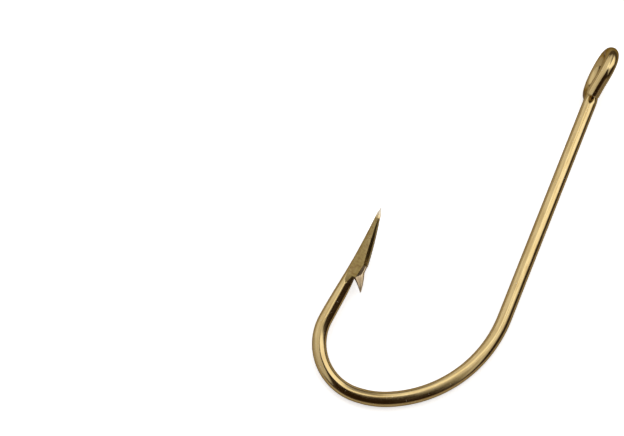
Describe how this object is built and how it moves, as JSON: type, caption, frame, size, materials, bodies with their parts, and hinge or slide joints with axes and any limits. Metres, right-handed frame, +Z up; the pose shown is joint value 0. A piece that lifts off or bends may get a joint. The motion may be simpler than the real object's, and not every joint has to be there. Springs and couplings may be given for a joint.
{
  "type": "fishing hook",
  "caption": "Long-shank single fishing hook of bronzed round wire, with a ring eye, an open forged bend, a ground spear point and a barb behind it.",
  "frame": {"origin": "middle of the bottom of the bounding box, on the surface that the hook lies on", "axes": "+Y along the shank towards the eye, +X across the hook from the point's side to the shank's side, +Z up from the surface"},
  "size_m": [0.025, 0.063, 0.0088],
  "materials": {
    "bronzed_wire": "drawn steel wire under a glossy bronze lacquer",
    "bronzed_point": "ground steel facets with fine grinding lines under the same bronze lacquer"
  },
  "bodies": {
    "root": {"eye_ring": "bronzed_wire", "shank": "bronzed_wire", "bend": "bronzed_wire", "point": "bronzed_point", "barb": "bronzed_point"}
  },
  "joints": []
}
